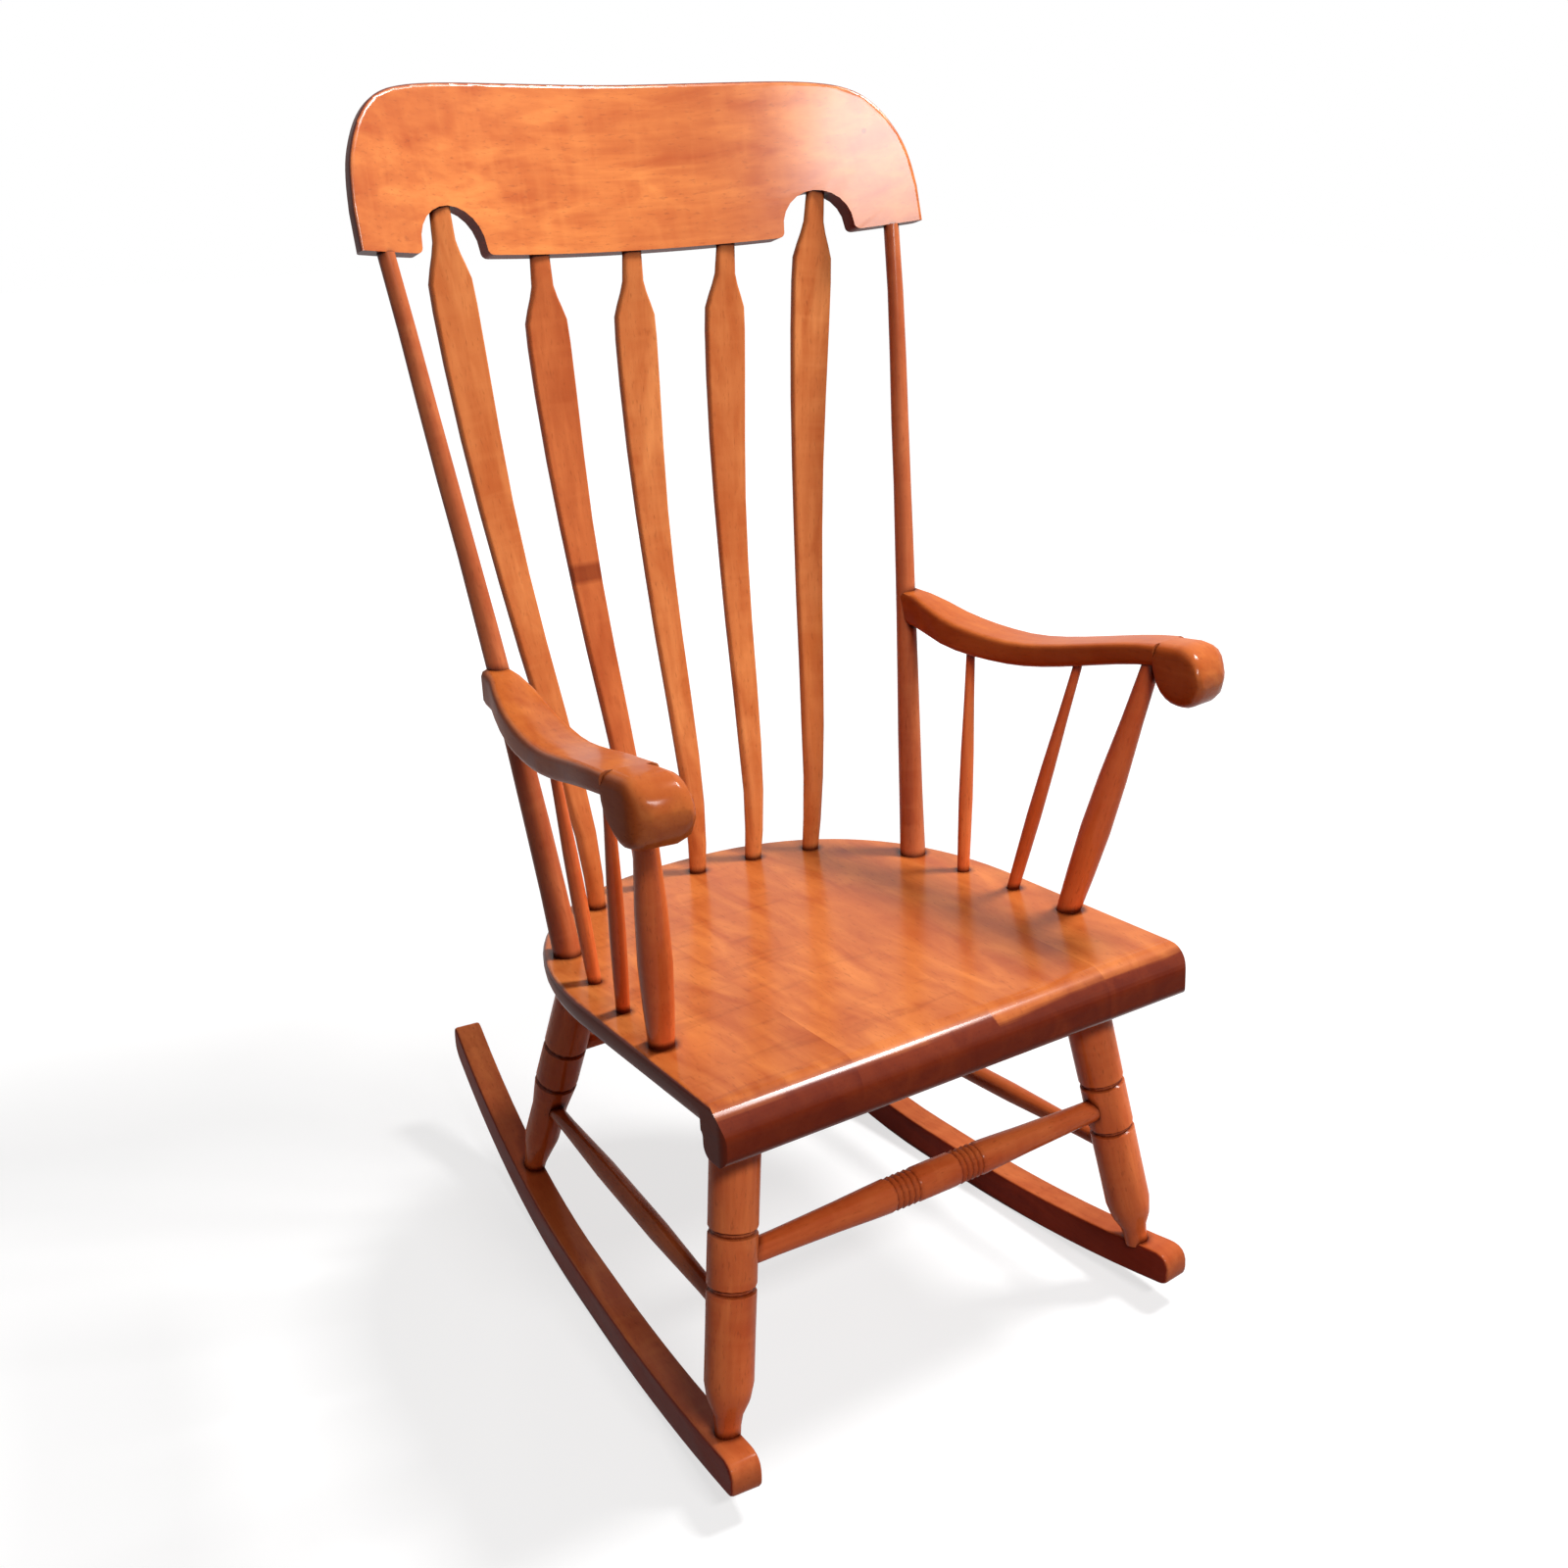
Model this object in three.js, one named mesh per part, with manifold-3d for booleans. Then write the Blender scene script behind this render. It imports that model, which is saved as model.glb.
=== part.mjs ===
// Boston rocking chair of stained hardwood. Millimetres, +Z up, the sitter faces -Y.
// The chair stands at rest on its two curved runners. The seat, the back, the arms and the legs share
// the seat's own frame, whose origin lies on the seat's top face, tipped back by seatTipAngle.
// Each stick has a round or flat tenon in a drilled socket, and the sockets are cut by the stick itself,
// enlarged by the fit, so a stick and its sockets always follow the same values.

import * as THREE from "three";
import { mergeVertices } from "three/addons/utils/BufferGeometryUtils.js";
import Module from "manifold-3d";

const wasm = await Module();
wasm.setup();

// Fits
const fit = 0.3;
const overrun = 3;

// Stance
const seatHeight = 353;
const seatTipAngle = 4.2;

// Seat plank
const seatHalfWidth = 240.5;
const seatFrontHalfWidth = 243.5;
const seatFront = 236;
const seatBack = 242;
const seatBend = 20;
const seatThickness = 26;
const seatEdgeRound = 4;
const seatUndercut = 11;
const seatUndercutHeight = 18;
const seatCornerRound = 12;
const seatBackExponent = 2.33;
const lipDrop = 48;
const lipDepth = 31;
const lipRound = 27;
const lipBottomRound = 11;
const seatSocketDepth = 18;

// Crest rail
const crestLeanAngle = 12.8;
const crestMiddleBack = 248;
const crestLow = 601;
const crestHalfLength = 286.5;
const crestHeight = 149;
const crestThickness = 17;
const crestBowRadius = 645;
const crestStickDepth = 7;
const crestEdgeRound = 4;
const notchMiddle = 189;
const notchHalfWidth = 34;
const notchHeight = 41;
const notchMouthRound = 7;
const crestSocketDepth = 20;

// Back posts
const postFootInset = 42.5;
const postFootBack = 103;
const postTopInset = 26.5;
const postFootRadius = 13;
const postNeckRadius = 7.5;
const postTenonRadius = 4.2;
const postStickDepth = 6;
const postSway = 7;
const postDraw = 2;

// Arrow spindles of the back, as shares of the seat's half width and back and of the crest's half length
const arrowFeet = [
  { name: "left_outer", side: -1, footSide: 0.52, footBack: 0.756, topSide: 0.68, spread: 0.25, turn: 5 },
  { name: "left_inner", side: -1, footSide: 0.266, footBack: 0.818, topSide: 0.342, spread: 0.07, turn: 2 },
  { name: "middle", side: 1, footSide: 0, footBack: 0.835, topSide: 0, spread: 0, turn: 0 },
  { name: "right_inner", side: 1, footSide: 0.266, footBack: 0.818, topSide: 0.342, spread: 0.07, turn: 2 },
  { name: "right_outer", side: 1, footSide: 0.52, footBack: 0.756, topSide: 0.68, spread: 0.25, turn: 5 },
];
const arrowFootWidth = 17.5;
const arrowBladeWidth = 42;
const arrowFootDepth = 15;
const arrowBladeDepth = 9;
const arrowBladeRound = 2.5;
const arrowTenonDepth = 8;
const arrowSway = 15;

// Arms
const armRearBack = 127;
const armRearWidth = 26;
const armWidth = 47;
const armTopHeight = 266;
const armDip = 26;
const armRearDepth = 33;
const armFrontDepth = 20;
const armRearSide = 226;
const armFrontSide = 269;
const armTurnAngle = 8.5;
const armEdgeRound = 6;
const armSocketDepth = 12;
const scrollRadius = 27.5;
const scrollFront = 204;
const scrollEdgeRound = 11;
const scrollOuterRound = 16;
const scrollInnerRound = 8;

// Front posts and spindles under the arms. Feet are shares of the seat's half width, front and back,
// tops are shares of the seat's front and back, set in from the middle of the arm by a share of its width
const armPost = { footSide: 0.914, footBack: -0.449, topBack: -0.717, inset: 0.255 };
const armPostFootRadius = 11;
const armPostSwellRadius = 14;
const armPostTopRadius = 8.2;
const armSpindles = [
  { name: "rear", footSide: 0.861, footBack: 0.136, topBack: 0.174, inset: 0.234 },
  { name: "front", footSide: 0.894, footBack: -0.14, topBack: -0.381, inset: 0.277 },
];
const armSpindleFootRadius = 6;
const armSpindleSwellRadius = 7;
const armSpindleTopRadius = 4.2;

// Legs. Tops are shares of the seat's half width, front and back, feet stand on the rockers
const frontFoot = -216.5;
const rearFoot = 218;
const legs = [
  { name: "front_left", side: -1, topSide: 0.757, topBack: -0.667, footBack: frontFoot },
  { name: "front_right", side: 1, topSide: 0.757, topBack: -0.667, footBack: frontFoot },
  { name: "rear_left", side: -1, topSide: 0.657, topBack: 0.587, footBack: rearFoot },
  { name: "rear_right", side: 1, topSide: 0.657, topBack: 0.587, footBack: rearFoot },
];
const legFootInset = 5.7;
const legTopRadius = 21.3;
const legShoulderRadius = 14;
const legMiddleRadius = 21;
const legSwellRadius = 20.8;
const rearLegSwellRadius = 17.3;
const legAnkleRadius = 12.5;
const legFootRadius = 11;
const legTenonRadius = 6.5;
const legTopTenonRadius = 12;
const legTenonDepth = 18;
const legBedDepth = 3;
const ringDepth = 2.6;
const ringHalfWidth = 3;

// Stretchers
const stretcherEndRadius = 7.5;
const frontStretcherEndRadius = 10.3;
const frontStretcherRadius = 15.5;
const frontBeadDepth = 1.8;
const frontBeadPitch = 6;
const frontBeadCount = 5;
const sideStretcherRadius = 9.8;
const rearStretcherRadius = 9;
const stretcherSetback = 6;

// Rockers
const rockerFrontRadius = 1400;
const rockerRearRadius = 610;
const rockerLow = 43;
const rockerRestLength = 58;
const rockerDepth = 33.5;
const rockerThickness = 28;
const rockerNose = 263;
const rockerTail = 401;
const rockerFrontSide = 236.6;
const rockerRearSide = 197;
const rockerNoseRound = 22;
const rockerNoseUnderRound = 9;
const rockerTailRound = 13;
const rockerEdgeRound = 2.5;

// Fasteners
const screwHeadRadius = 4.5;
const screwHeadDepth = 3;
const screwShankRadius = 2.2;
const screwLength = 38;
const screwSink = 1;
const pinRadius = 3;
const pinLength = 20;

// How finely round shapes are cut into flats
const arcSteps = 6;
const bowSteps = 28;
const crestEdgeSteps = 3;
const legSides = 16;
const postSides = 14;
const spindleSides = 12;
const boltSides = 12;
const rockerSteps = 22;

// Stations along the pieces, as shares of their length, with radii or widths as shares of the named ones
const crestOutlineShares = [
  [0, 1], [0.2, 1], [0.36, 0.995], [0.5, 0.985], [0.6, 0.972], [0.68, 0.955], [0.745, 0.933], [0.8, 0.904],
  [0.85, 0.858], [0.89, 0.795], [0.925, 0.713], [0.955, 0.61], [0.978, 0.498], [0.992, 0.368], [1, 0.22],
];
const arrowSwayShares = [[0, 0], [0.1, -0.5], [0.3, 0.08], [0.45, 0.7], [0.65, 1], [0.9, 0.52], [1, 0]];
const arrowWidthShares = [
  [0, 0], [0.05, 0.08], [0.12, 0.17], [0.2, 0.29], [0.3, 0.37], [0.4, 0.46], [0.5, 0.55], [0.6, 0.67],
  [0.7, 0.83], [0.8, 0.96], [0.87, 1], [0.905, 0.95], [0.924, 0.66], [0.94, 0.38], [0.957, 0.16], [1, 0.08],
];
const arrowDepthShares = [
  [0, 1], [0.06, 0.96], [0.12, 0.8], [0.2, 0.5], [0.3, 0.25], [0.4, 0.1], [0.5, 0], [1, 0],
];
const arrowRoundShares = [
  [0, 1], [0.12, 0.9], [0.3, 0.5], [0.5, 0.2], [0.7, 0], [0.9, 0], [0.957, 0.8], [1, 1],
];
const postRadiusShares = [
  [0, 1], [0.1, 0.82], [0.2, 0.73], [0.3, 0.59], [0.4, 0.45], [0.5, 0.36], [0.6, 0.24], [0.7, 0.22],
  [0.8, 0.14], [0.9, 0.05], [1, 0],
];
const postSwayShares = [
  [0, 0], [0.1, 0.29], [0.2, 0.55], [0.3, 0.79], [0.4, 0.93], [0.5, 1], [0.6, 1], [0.7, 0.88],
  [0.9, 0.84], [1, 0.43],
];
const postDrawShares = [[0, 0], [0.15, 0.8], [0.35, 1], [0.6, 0.6], [0.8, 0], [1, 0]];
const armDipShares = [
  [0, 0], [0.07, 0.24], [0.15, 0.58], [0.24, 0.82], [0.34, 0.96], [0.42, 1], [0.5, 0.93], [0.6, 0.74],
  [0.72, 0.46], [0.83, 0.22], [0.92, 0.08], [1, 0],
];
const armDepthShares = [[0, 1], [0.12, 0.72], [0.25, 0.5], [0.4, 0.26], [0.6, 0.14], [0.85, 0], [1, 0]];
const armWidthShares = [[0, 0], [0.08, 0.5], [0.18, 0.86], [0.3, 0.98], [0.5, 1], [1, 1]];
const armSideShares = [
  [0, 0], [0.15, 0.14], [0.32, 0.33], [0.47, 0.49], [0.68, 0.72], [0.8, 0.88], [0.88, 0.96], [1, 1],
];
const legRingShares = [0.41, 0.575];
const frontStretcherShare = 0.501;
const sideStretcherFrontShare = 0.66;
const sideStretcherRearShare = 0.7;
const rearStretcherShare = 0.43;
const frontStretcherShares = [[0, 0], [0.1, 0.08], [0.25, 0.47], [0.33, 0.78], [0.4, 0.97], [0.5, 1]];
const frontBeadShares = [0.415, 0.585];

// Colours of the stained wood and the plated screws
const lightWood = new THREE.Color(0.78, 0.36, 0.14);
const seatWood = new THREE.Color(0.7, 0.31, 0.13);
const darkWood = new THREE.Color(0.6, 0.24, 0.1);
const plate = new THREE.Color(0.6, 0.52, 0.34);

const degrees = THREE.MathUtils.degToRad;
const across = new THREE.Vector3(1, 0, 0);
const upright = new THREE.Vector3(0, 1, 0);

// A value read from a table of rows by a smooth curve through them
function follow(table, share) {
  const last = table.length - 1;
  let row = 0;
  while (row < last - 1 && share > table[row + 1][0]) row += 1;
  const [start, low] = table[row];
  const [end, high] = table[row + 1];
  const before = table[Math.max(row - 1, 0)];
  const after = table[Math.min(row + 2, last)];
  const run = end - start;
  const t = THREE.MathUtils.clamp((share - start) / run, 0, 1);
  const slopeLow = row > 0 ? (run * (high - before[1])) / (end - before[0]) : high - low;
  const slopeHigh = row + 1 < last ? (run * (after[1] - low)) / (after[0] - start) : high - low;
  const square = t * t;
  const cube = square * t;
  return low * (2 * cube - 3 * square + 1) + slopeLow * (cube - 2 * square + t)
    + high * (3 * square - 2 * cube) + slopeHigh * (cube - square);
}

// A closed solid from a geometry, ready to be cut or joined
function toSolid(geometry, matrix) {
  const bare = geometry.clone();
  bare.deleteAttribute("normal");
  bare.deleteAttribute("uv");
  if (matrix) bare.applyMatrix4(matrix);
  const merged = mergeVertices(bare);
  const place = merged.attributes.position;
  const index = merged.index.array;
  const triangles = [];
  const a = new THREE.Vector3();
  const b = new THREE.Vector3();
  const c = new THREE.Vector3();
  let volume = 0;
  for (let at = 0; at < index.length; at += 3) {
    const [i, j, k] = [index[at], index[at + 1], index[at + 2]];
    if (i === j || j === k || k === i) continue;
    triangles.push(i, j, k);
    a.fromBufferAttribute(place, i);
    b.fromBufferAttribute(place, j);
    c.fromBufferAttribute(place, k);
    volume += a.dot(b.cross(c));
  }
  const facing = volume < 0 ? triangles.reverse() : triangles;
  return new wasm.Manifold(new wasm.Mesh({
    numProp: 3,
    vertProperties: new Float32Array(place.array),
    triVerts: new Uint32Array(facing),
  }));
}

function toGeometry(solid) {
  const mesh = solid.getMesh();
  const geometry = new THREE.BufferGeometry();
  geometry.setAttribute("position", new THREE.BufferAttribute(mesh.vertProperties, 3));
  geometry.setIndex(new THREE.BufferAttribute(mesh.triVerts, 1));
  geometry.computeVertexNormals();
  return geometry;
}

// A skin over rings of equally many points, closed by a fan at each end
function loft(rings) {
  const sides = rings[0].length;
  const points = [];
  const triangles = [];
  for (const ring of rings) {
    for (const point of ring) points.push(point.x, point.y, point.z);
  }
  for (let row = 0; row + 1 < rings.length; row += 1) {
    for (let column = 0; column < sides; column += 1) {
      const next = (column + 1) % sides;
      const [low, lowNext] = [row * sides + column, row * sides + next];
      triangles.push(low, lowNext, lowNext + sides, low, lowNext + sides, low + sides);
    }
  }
  for (const [row, flip] of [[0, true], [rings.length - 1, false]]) {
    const centre = new THREE.Vector3();
    for (const point of rings[row]) centre.addScaledVector(point, 1 / sides);
    const hub = points.length / 3;
    points.push(centre.x, centre.y, centre.z);
    for (let column = 0; column < sides; column += 1) {
      const [here, next] = [row * sides + column, row * sides + ((column + 1) % sides)];
      triangles.push(hub, flip ? next : here, flip ? here : next);
    }
  }
  const geometry = new THREE.BufferGeometry();
  geometry.setAttribute("position", new THREE.Float32BufferAttribute(points, 3));
  geometry.setIndex(triangles);
  return geometry;
}

// Splits a geometry's triangles at planes across X, so that it can be bent along X
function sliceAcross(geometry, planes) {
  const flat = geometry.index ? geometry.toNonIndexed() : geometry;
  const place = flat.attributes.position;
  let triangles = [];
  for (let at = 0; at < place.count; at += 3) {
    triangles.push([0, 1, 2].map((corner) => new THREE.Vector3().fromBufferAttribute(place, at + corner)));
  }
  for (const plane of planes) {
    triangles = triangles.flatMap((corners) => {
      const halves = [[], []];
      corners.forEach((corner, number) => {
        const next = corners[(number + 1) % corners.length];
        if (corner.x <= plane) halves[0].push(corner);
        if (corner.x >= plane) halves[1].push(corner);
        if ((corner.x - plane) * (next.x - plane) < 0) {
          const [low, high] = corner.x < next.x ? [corner, next] : [next, corner];
          const split = low.clone().lerp(high, (plane - low.x) / (high.x - low.x)).setX(plane);
          halves[0].push(split);
          halves[1].push(split);
        }
      });
      return halves.filter((half) => half.length > 2);
    });
  }
  const points = [];
  for (const [first, ...others] of triangles) {
    for (let number = 0; number + 1 < others.length; number += 1) {
      for (const point of [first, others[number], others[number + 1]]) points.push(point.x, point.y, point.z);
    }
  }
  const sliced = new THREE.BufferGeometry();
  sliced.setAttribute("position", new THREE.Float32BufferAttribute(points, 3));
  return sliced;
}

// A round ring about a point, square to a direction
function roundRing(centre, direction, radius, sides) {
  const turn = new THREE.Quaternion().setFromUnitVectors(upright, direction);
  return Array.from({ length: sides }, (_, number) => {
    const angle = (number / sides) * 2 * Math.PI;
    const spoke = new THREE.Vector3(Math.sin(angle) * radius, 0, Math.cos(angle) * radius);
    return spoke.applyQuaternion(turn).add(centre);
  });
}

// The corners of a box with rounded corners, as [across, along] pairs
function roundedSection(halfAcross, halfAlong, round, steps) {
  const radius = Math.min(round, halfAcross, halfAlong);
  const section = [];
  for (const [x, y, quarter] of [[1, 1, 0], [-1, 1, 1], [-1, -1, 2], [1, -1, 3]]) {
    for (let step = 0; step <= steps; step += 1) {
      const angle = (quarter + step / steps) * Math.PI / 2;
      section.push([
        x * (halfAcross - radius) + radius * Math.cos(angle),
        y * (halfAlong - radius) + radius * Math.sin(angle),
      ]);
    }
  }
  return section;
}

// The frames that the pieces are placed in
const chair = new THREE.Group();
const seatFrame = new THREE.Group();
chair.add(seatFrame);
seatFrame.position.z = seatHeight;
seatFrame.rotation.x = -degrees(seatTipAngle);
chair.updateMatrixWorld(true);

function addPiece(parent, name, geometry, colour, gloss = {}) {
  const material = new THREE.MeshStandardMaterial({ color: colour, roughness: 0.35, metalness: 0, ...gloss });
  const mesh = new THREE.Mesh(geometry, material);
  mesh.name = name;
  parent.add(mesh);
  mesh.updateWorldMatrix(true, false);
  return mesh;
}

// Cuts a piece with others' cutters, each a geometry in the seat's frame or in the chair's
function cut(piece, cutters) {
  const home = piece.matrixWorld.clone().invert();
  let solid = toSolid(piece.geometry);
  for (const { geometry, frame } of cutters) {
    const relative = home.clone().multiply(frame.matrixWorld);
    solid = solid.subtract(toSolid(geometry, relative));
  }
  piece.geometry = toGeometry(solid);
}

function inSeatFrame(point) {
  return seatFrame.worldToLocal(point.clone());
}

// A turned stick from one point to another. Each row of its profile is a distance from the start and a
// radius. grow enlarges the stick all round for the cutter of its sockets
function turned(start, end, profile, sides, grow = 0) {
  const first = profile[0];
  const last = profile[profile.length - 1];
  const outline = [new THREE.Vector2(0, first[0] - grow)];
  for (const [at, radius] of profile) {
    const shift = at === first[0] ? -grow : at === last[0] ? grow : 0;
    outline.push(new THREE.Vector2(radius + grow, at + shift));
  }
  outline.push(new THREE.Vector2(0, last[0] + grow));
  const geometry = new THREE.LatheGeometry(outline, sides);
  const direction = end.clone().sub(start).normalize();
  geometry.applyQuaternion(new THREE.Quaternion().setFromUnitVectors(upright, direction));
  geometry.translate(start.x, start.y, start.z);
  return geometry;
}

function addTurned(name, start, end, profile, sides, colour) {
  const piece = addPiece(seatFrame, name, toGeometry(toSolid(turned(start, end, profile, sides))), colour);
  const cutter = { geometry: turned(start, end, profile, sides, fit), frame: seatFrame };
  return { piece, cutter };
}

// Rockers: an arc of flats round the floor contact, with a level flat where the chair rests
function rockerUnderside(along) {
  const beyond = Math.max(Math.abs(along - rockerLow) - rockerRestLength / 2, 0);
  const radius = along < rockerLow ? rockerFrontRadius : rockerRearRadius;
  return radius - Math.sqrt(radius * radius - beyond * beyond);
}

function rockerTop(along) {
  return rockerUnderside(along) + rockerDepth;
}

function rockerShape() {
  const shape = new THREE.Shape();
  const noseUnder = -(rockerNose - rockerNoseUnderRound);
  const noseOver = -(rockerNose - rockerNoseRound);
  const tailUnder = rockerTail - rockerTailRound;
  const under = [];
  for (let step = 0; step <= rockerSteps; step += 1) {
    under.push(noseUnder + (tailUnder - noseUnder) * (step / rockerSteps));
  }
  const restFront = rockerLow - rockerRestLength / 2;
  const restBack = rockerLow + rockerRestLength / 2;
  const kept = under.filter((along) => along < restFront || along > restBack);
  kept.push(restFront, restBack);
  kept.sort((one, other) => one - other);
  shape.moveTo(kept[0], rockerUnderside(kept[0]));
  for (const along of kept.slice(1)) shape.lineTo(along, rockerUnderside(along));
  const tailLow = rockerUnderside(rockerTail) + rockerTailRound;
  const tailHigh = rockerTop(rockerTail) - rockerTailRound;
  shape.quadraticCurveTo(rockerTail, rockerUnderside(rockerTail), rockerTail, tailLow);
  shape.lineTo(rockerTail, tailHigh);
  shape.quadraticCurveTo(rockerTail, rockerTop(rockerTail), tailUnder, rockerTop(tailUnder));
  const over = under.filter((along) => along < tailUnder && along > noseOver);
  for (const along of over.reverse()) shape.lineTo(along, rockerTop(along));
  shape.lineTo(noseOver, rockerTop(noseOver));
  const noseLow = rockerUnderside(-rockerNose) + rockerNoseUnderRound;
  const noseHigh = rockerTop(-rockerNose) - rockerNoseRound;
  shape.quadraticCurveTo(-rockerNose, rockerTop(-rockerNose), -rockerNose, noseHigh);
  shape.lineTo(-rockerNose, noseLow);
  shape.quadraticCurveTo(-rockerNose, rockerUnderside(-rockerNose), noseUnder, rockerUnderside(noseUnder));
  return shape;
}

const toeIn = Math.atan((rockerFrontSide - rockerRearSide) / (rearFoot - frontFoot));

function rockerSide(along) {
  return rockerFrontSide - (along - frontFoot) * Math.tan(toeIn);
}

function addRocker(name, side) {
  const geometry = new THREE.ExtrudeGeometry(rockerShape(), {
    depth: rockerThickness - 2 * rockerEdgeRound,
    bevelThickness: rockerEdgeRound,
    bevelSize: rockerEdgeRound,
    bevelOffset: -rockerEdgeRound,
    bevelSegments: 2,
    curveSegments: arcSteps,
  });
  geometry.translate(0, 0, -(rockerThickness / 2 - rockerEdgeRound));
  geometry.rotateY(Math.PI / 2);
  geometry.rotateX(Math.PI / 2);
  const piece = addPiece(chair, name, geometry, darkWood);
  piece.rotation.z = side * toeIn;
  piece.position.x = side * rockerSide(0);
  piece.updateMatrixWorld(true);
  return piece;
}

// The rocker's outline lies along its own length, so its local Y is the shape's X and its Z the shape's Y
const rockers = {
  "-1": addRocker("rocker_left", -1),
  1: addRocker("rocker_right", 1),
};

// Seat: the D-shaped plan and the side profile with its rolled front, each cut by the other
function seatPlanShape(cornerRound) {
  const shape = new THREE.Shape();
  const front = -(seatFront + overrun);
  shape.moveTo(-(seatFrontHalfWidth - cornerRound), front);
  shape.lineTo(seatFrontHalfWidth - cornerRound, front);
  shape.quadraticCurveTo(seatFrontHalfWidth, front, seatFrontHalfWidth, front + cornerRound);
  const steps = 7 * arcSteps;
  for (let step = 0; step <= steps; step += 1) {
    const angle = (step / steps) * Math.PI;
    const [cosine, sine] = [Math.cos(angle), Math.sin(angle)];
    const power = 2 / seatBackExponent;
    shape.lineTo(
      Math.sign(cosine) * seatHalfWidth * Math.abs(cosine) ** power,
      -seatBend + (seatBack + seatBend) * sine ** power,
    );
  }
  shape.lineTo(-seatFrontHalfWidth, front + cornerRound);
  shape.quadraticCurveTo(-seatFrontHalfWidth, front, -(seatFrontHalfWidth - cornerRound), front);
  return shape;
}

function seatProfileShape() {
  const shape = new THREE.Shape();
  const front = -seatFront;
  const back = seatBack + overrun;
  const lipBack = front + lipDepth;
  shape.moveTo(back, overrun);
  shape.lineTo(front + lipRound, overrun);
  shape.lineTo(front + lipRound, 0);
  shape.absarc(front + lipRound, -lipRound, lipRound, Math.PI / 2, Math.PI, false);
  const lipHeight = -(lipDrop - lipBottomRound);
  const hollowRound = lipBottomRound / 2;
  shape.absarc(front + lipBottomRound, lipHeight, lipBottomRound, Math.PI, 1.5 * Math.PI, false);
  shape.absarc(lipBack - lipBottomRound, lipHeight, lipBottomRound, 1.5 * Math.PI, 2 * Math.PI, false);
  shape.absarc(lipBack + hollowRound, -(seatThickness + hollowRound), hollowRound, Math.PI, Math.PI / 2, true);
  shape.lineTo(back, -seatThickness);
  return shape;
}

// The plan as a block under the seat's top, its edges rounded by a height and a size
function seatBlock(under, above, roundHeight, roundSize, segments, cornerRound) {
  const geometry = new THREE.ExtrudeGeometry(seatPlanShape(cornerRound), {
    depth: under + above - 2 * roundHeight,
    bevelThickness: roundHeight,
    bevelSize: roundSize,
    bevelOffset: -roundSize,
    bevelSegments: segments,
  });
  geometry.translate(0, 0, roundHeight - under);
  return toSolid(geometry);
}

function makeSeat() {
  const full = seatBlock(lipDrop + overrun, 0, seatEdgeRound, seatEdgeRound, 3, seatCornerRound);
  const above = seatUndercutHeight + overrun;
  const undercut = seatBlock(seatThickness, above, seatUndercutHeight, seatUndercut, 4, 2 * seatUndercut);
  const frontBand = lipDepth + 2 * overrun;
  const lip = new THREE.BoxGeometry(2 * seatFrontHalfWidth, frontBand, 2 * lipDrop + 4 * overrun);
  lip.translate(0, -(seatFront + overrun) + frontBand / 2, 0);
  const profile = new THREE.ExtrudeGeometry(seatProfileShape(), {
    depth: 2 * (seatFrontHalfWidth + overrun),
    bevelEnabled: false,
    curveSegments: arcSteps,
  });
  profile.translate(0, 0, -(seatFrontHalfWidth + overrun));
  profile.rotateY(Math.PI / 2);
  profile.rotateX(Math.PI / 2);
  return toGeometry(undercut.add(toSolid(lip)).intersect(full).intersect(toSolid(profile)));
}

const seat = addPiece(seatFrame, "seat", makeSeat(), seatWood);

// Crest rail: a bowed board, cut to the outline of its front
const crestFrame = new THREE.Group();
seatFrame.add(crestFrame);
crestFrame.position.set(0, crestMiddleBack, crestLow);
crestFrame.rotation.x = -degrees(crestLeanAngle);
crestFrame.updateWorldMatrix(true, false);

function crestBow(side) {
  return crestBowRadius - Math.sqrt(crestBowRadius * crestBowRadius - side * side);
}

// A point inside the crest, in the seat's frame: to the side, up the board and behind its front face
function inCrest(side, height, depth) {
  const local = new THREE.Vector3(side, depth - crestBow(side), height);
  return inSeatFrame(crestFrame.localToWorld(local));
}

// Up the board, in the seat's frame
const boardUp = inCrest(0, 1, 0).sub(inCrest(0, 0, 0));

function crestOutline() {
  const shape = new THREE.Shape();
  const bottom = -(crestEdgeRound + overrun);
  const rightEdge = crestOutlineShares.map(([across, up]) => (
    new THREE.Vector2(across * crestHalfLength, up * crestHeight)
  ));
  const leftEdge = rightEdge.slice(1).map(({ x, y }) => new THREE.Vector2(-x, y));
  shape.moveTo(-crestHalfLength, bottom);
  shape.lineTo(crestHalfLength, bottom);
  shape.lineTo(crestHalfLength, rightEdge[rightEdge.length - 1].y);
  shape.splineThru([...rightEdge.reverse().slice(1), ...leftEdge]);
  shape.lineTo(-crestHalfLength, bottom);
  return shape;
}

// The arched cuts in the crest's lower edge, and all that lies under it
function crestUnderShape() {
  const shape = new THREE.Shape();
  const reach = crestHalfLength + overrun;
  const mouth = notchHalfWidth + notchMouthRound;
  const shoulder = notchHeight - notchHalfWidth;
  shape.moveTo(-reach, 0);
  for (const middle of [-notchMiddle, notchMiddle]) {
    shape.lineTo(middle - mouth, 0);
    shape.quadraticCurveTo(middle - notchHalfWidth, 0, middle - notchHalfWidth, notchMouthRound);
    shape.absarc(middle, shoulder, notchHalfWidth, Math.PI, 0, true);
    shape.lineTo(middle + notchHalfWidth, notchMouthRound);
    shape.quadraticCurveTo(middle + notchHalfWidth, 0, middle + mouth, 0);
  }
  shape.lineTo(reach, 0);
  shape.lineTo(reach, -(crestEdgeRound + 2 * overrun));
  shape.lineTo(-reach, -(crestEdgeRound + 2 * overrun));
  return shape;
}

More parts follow.
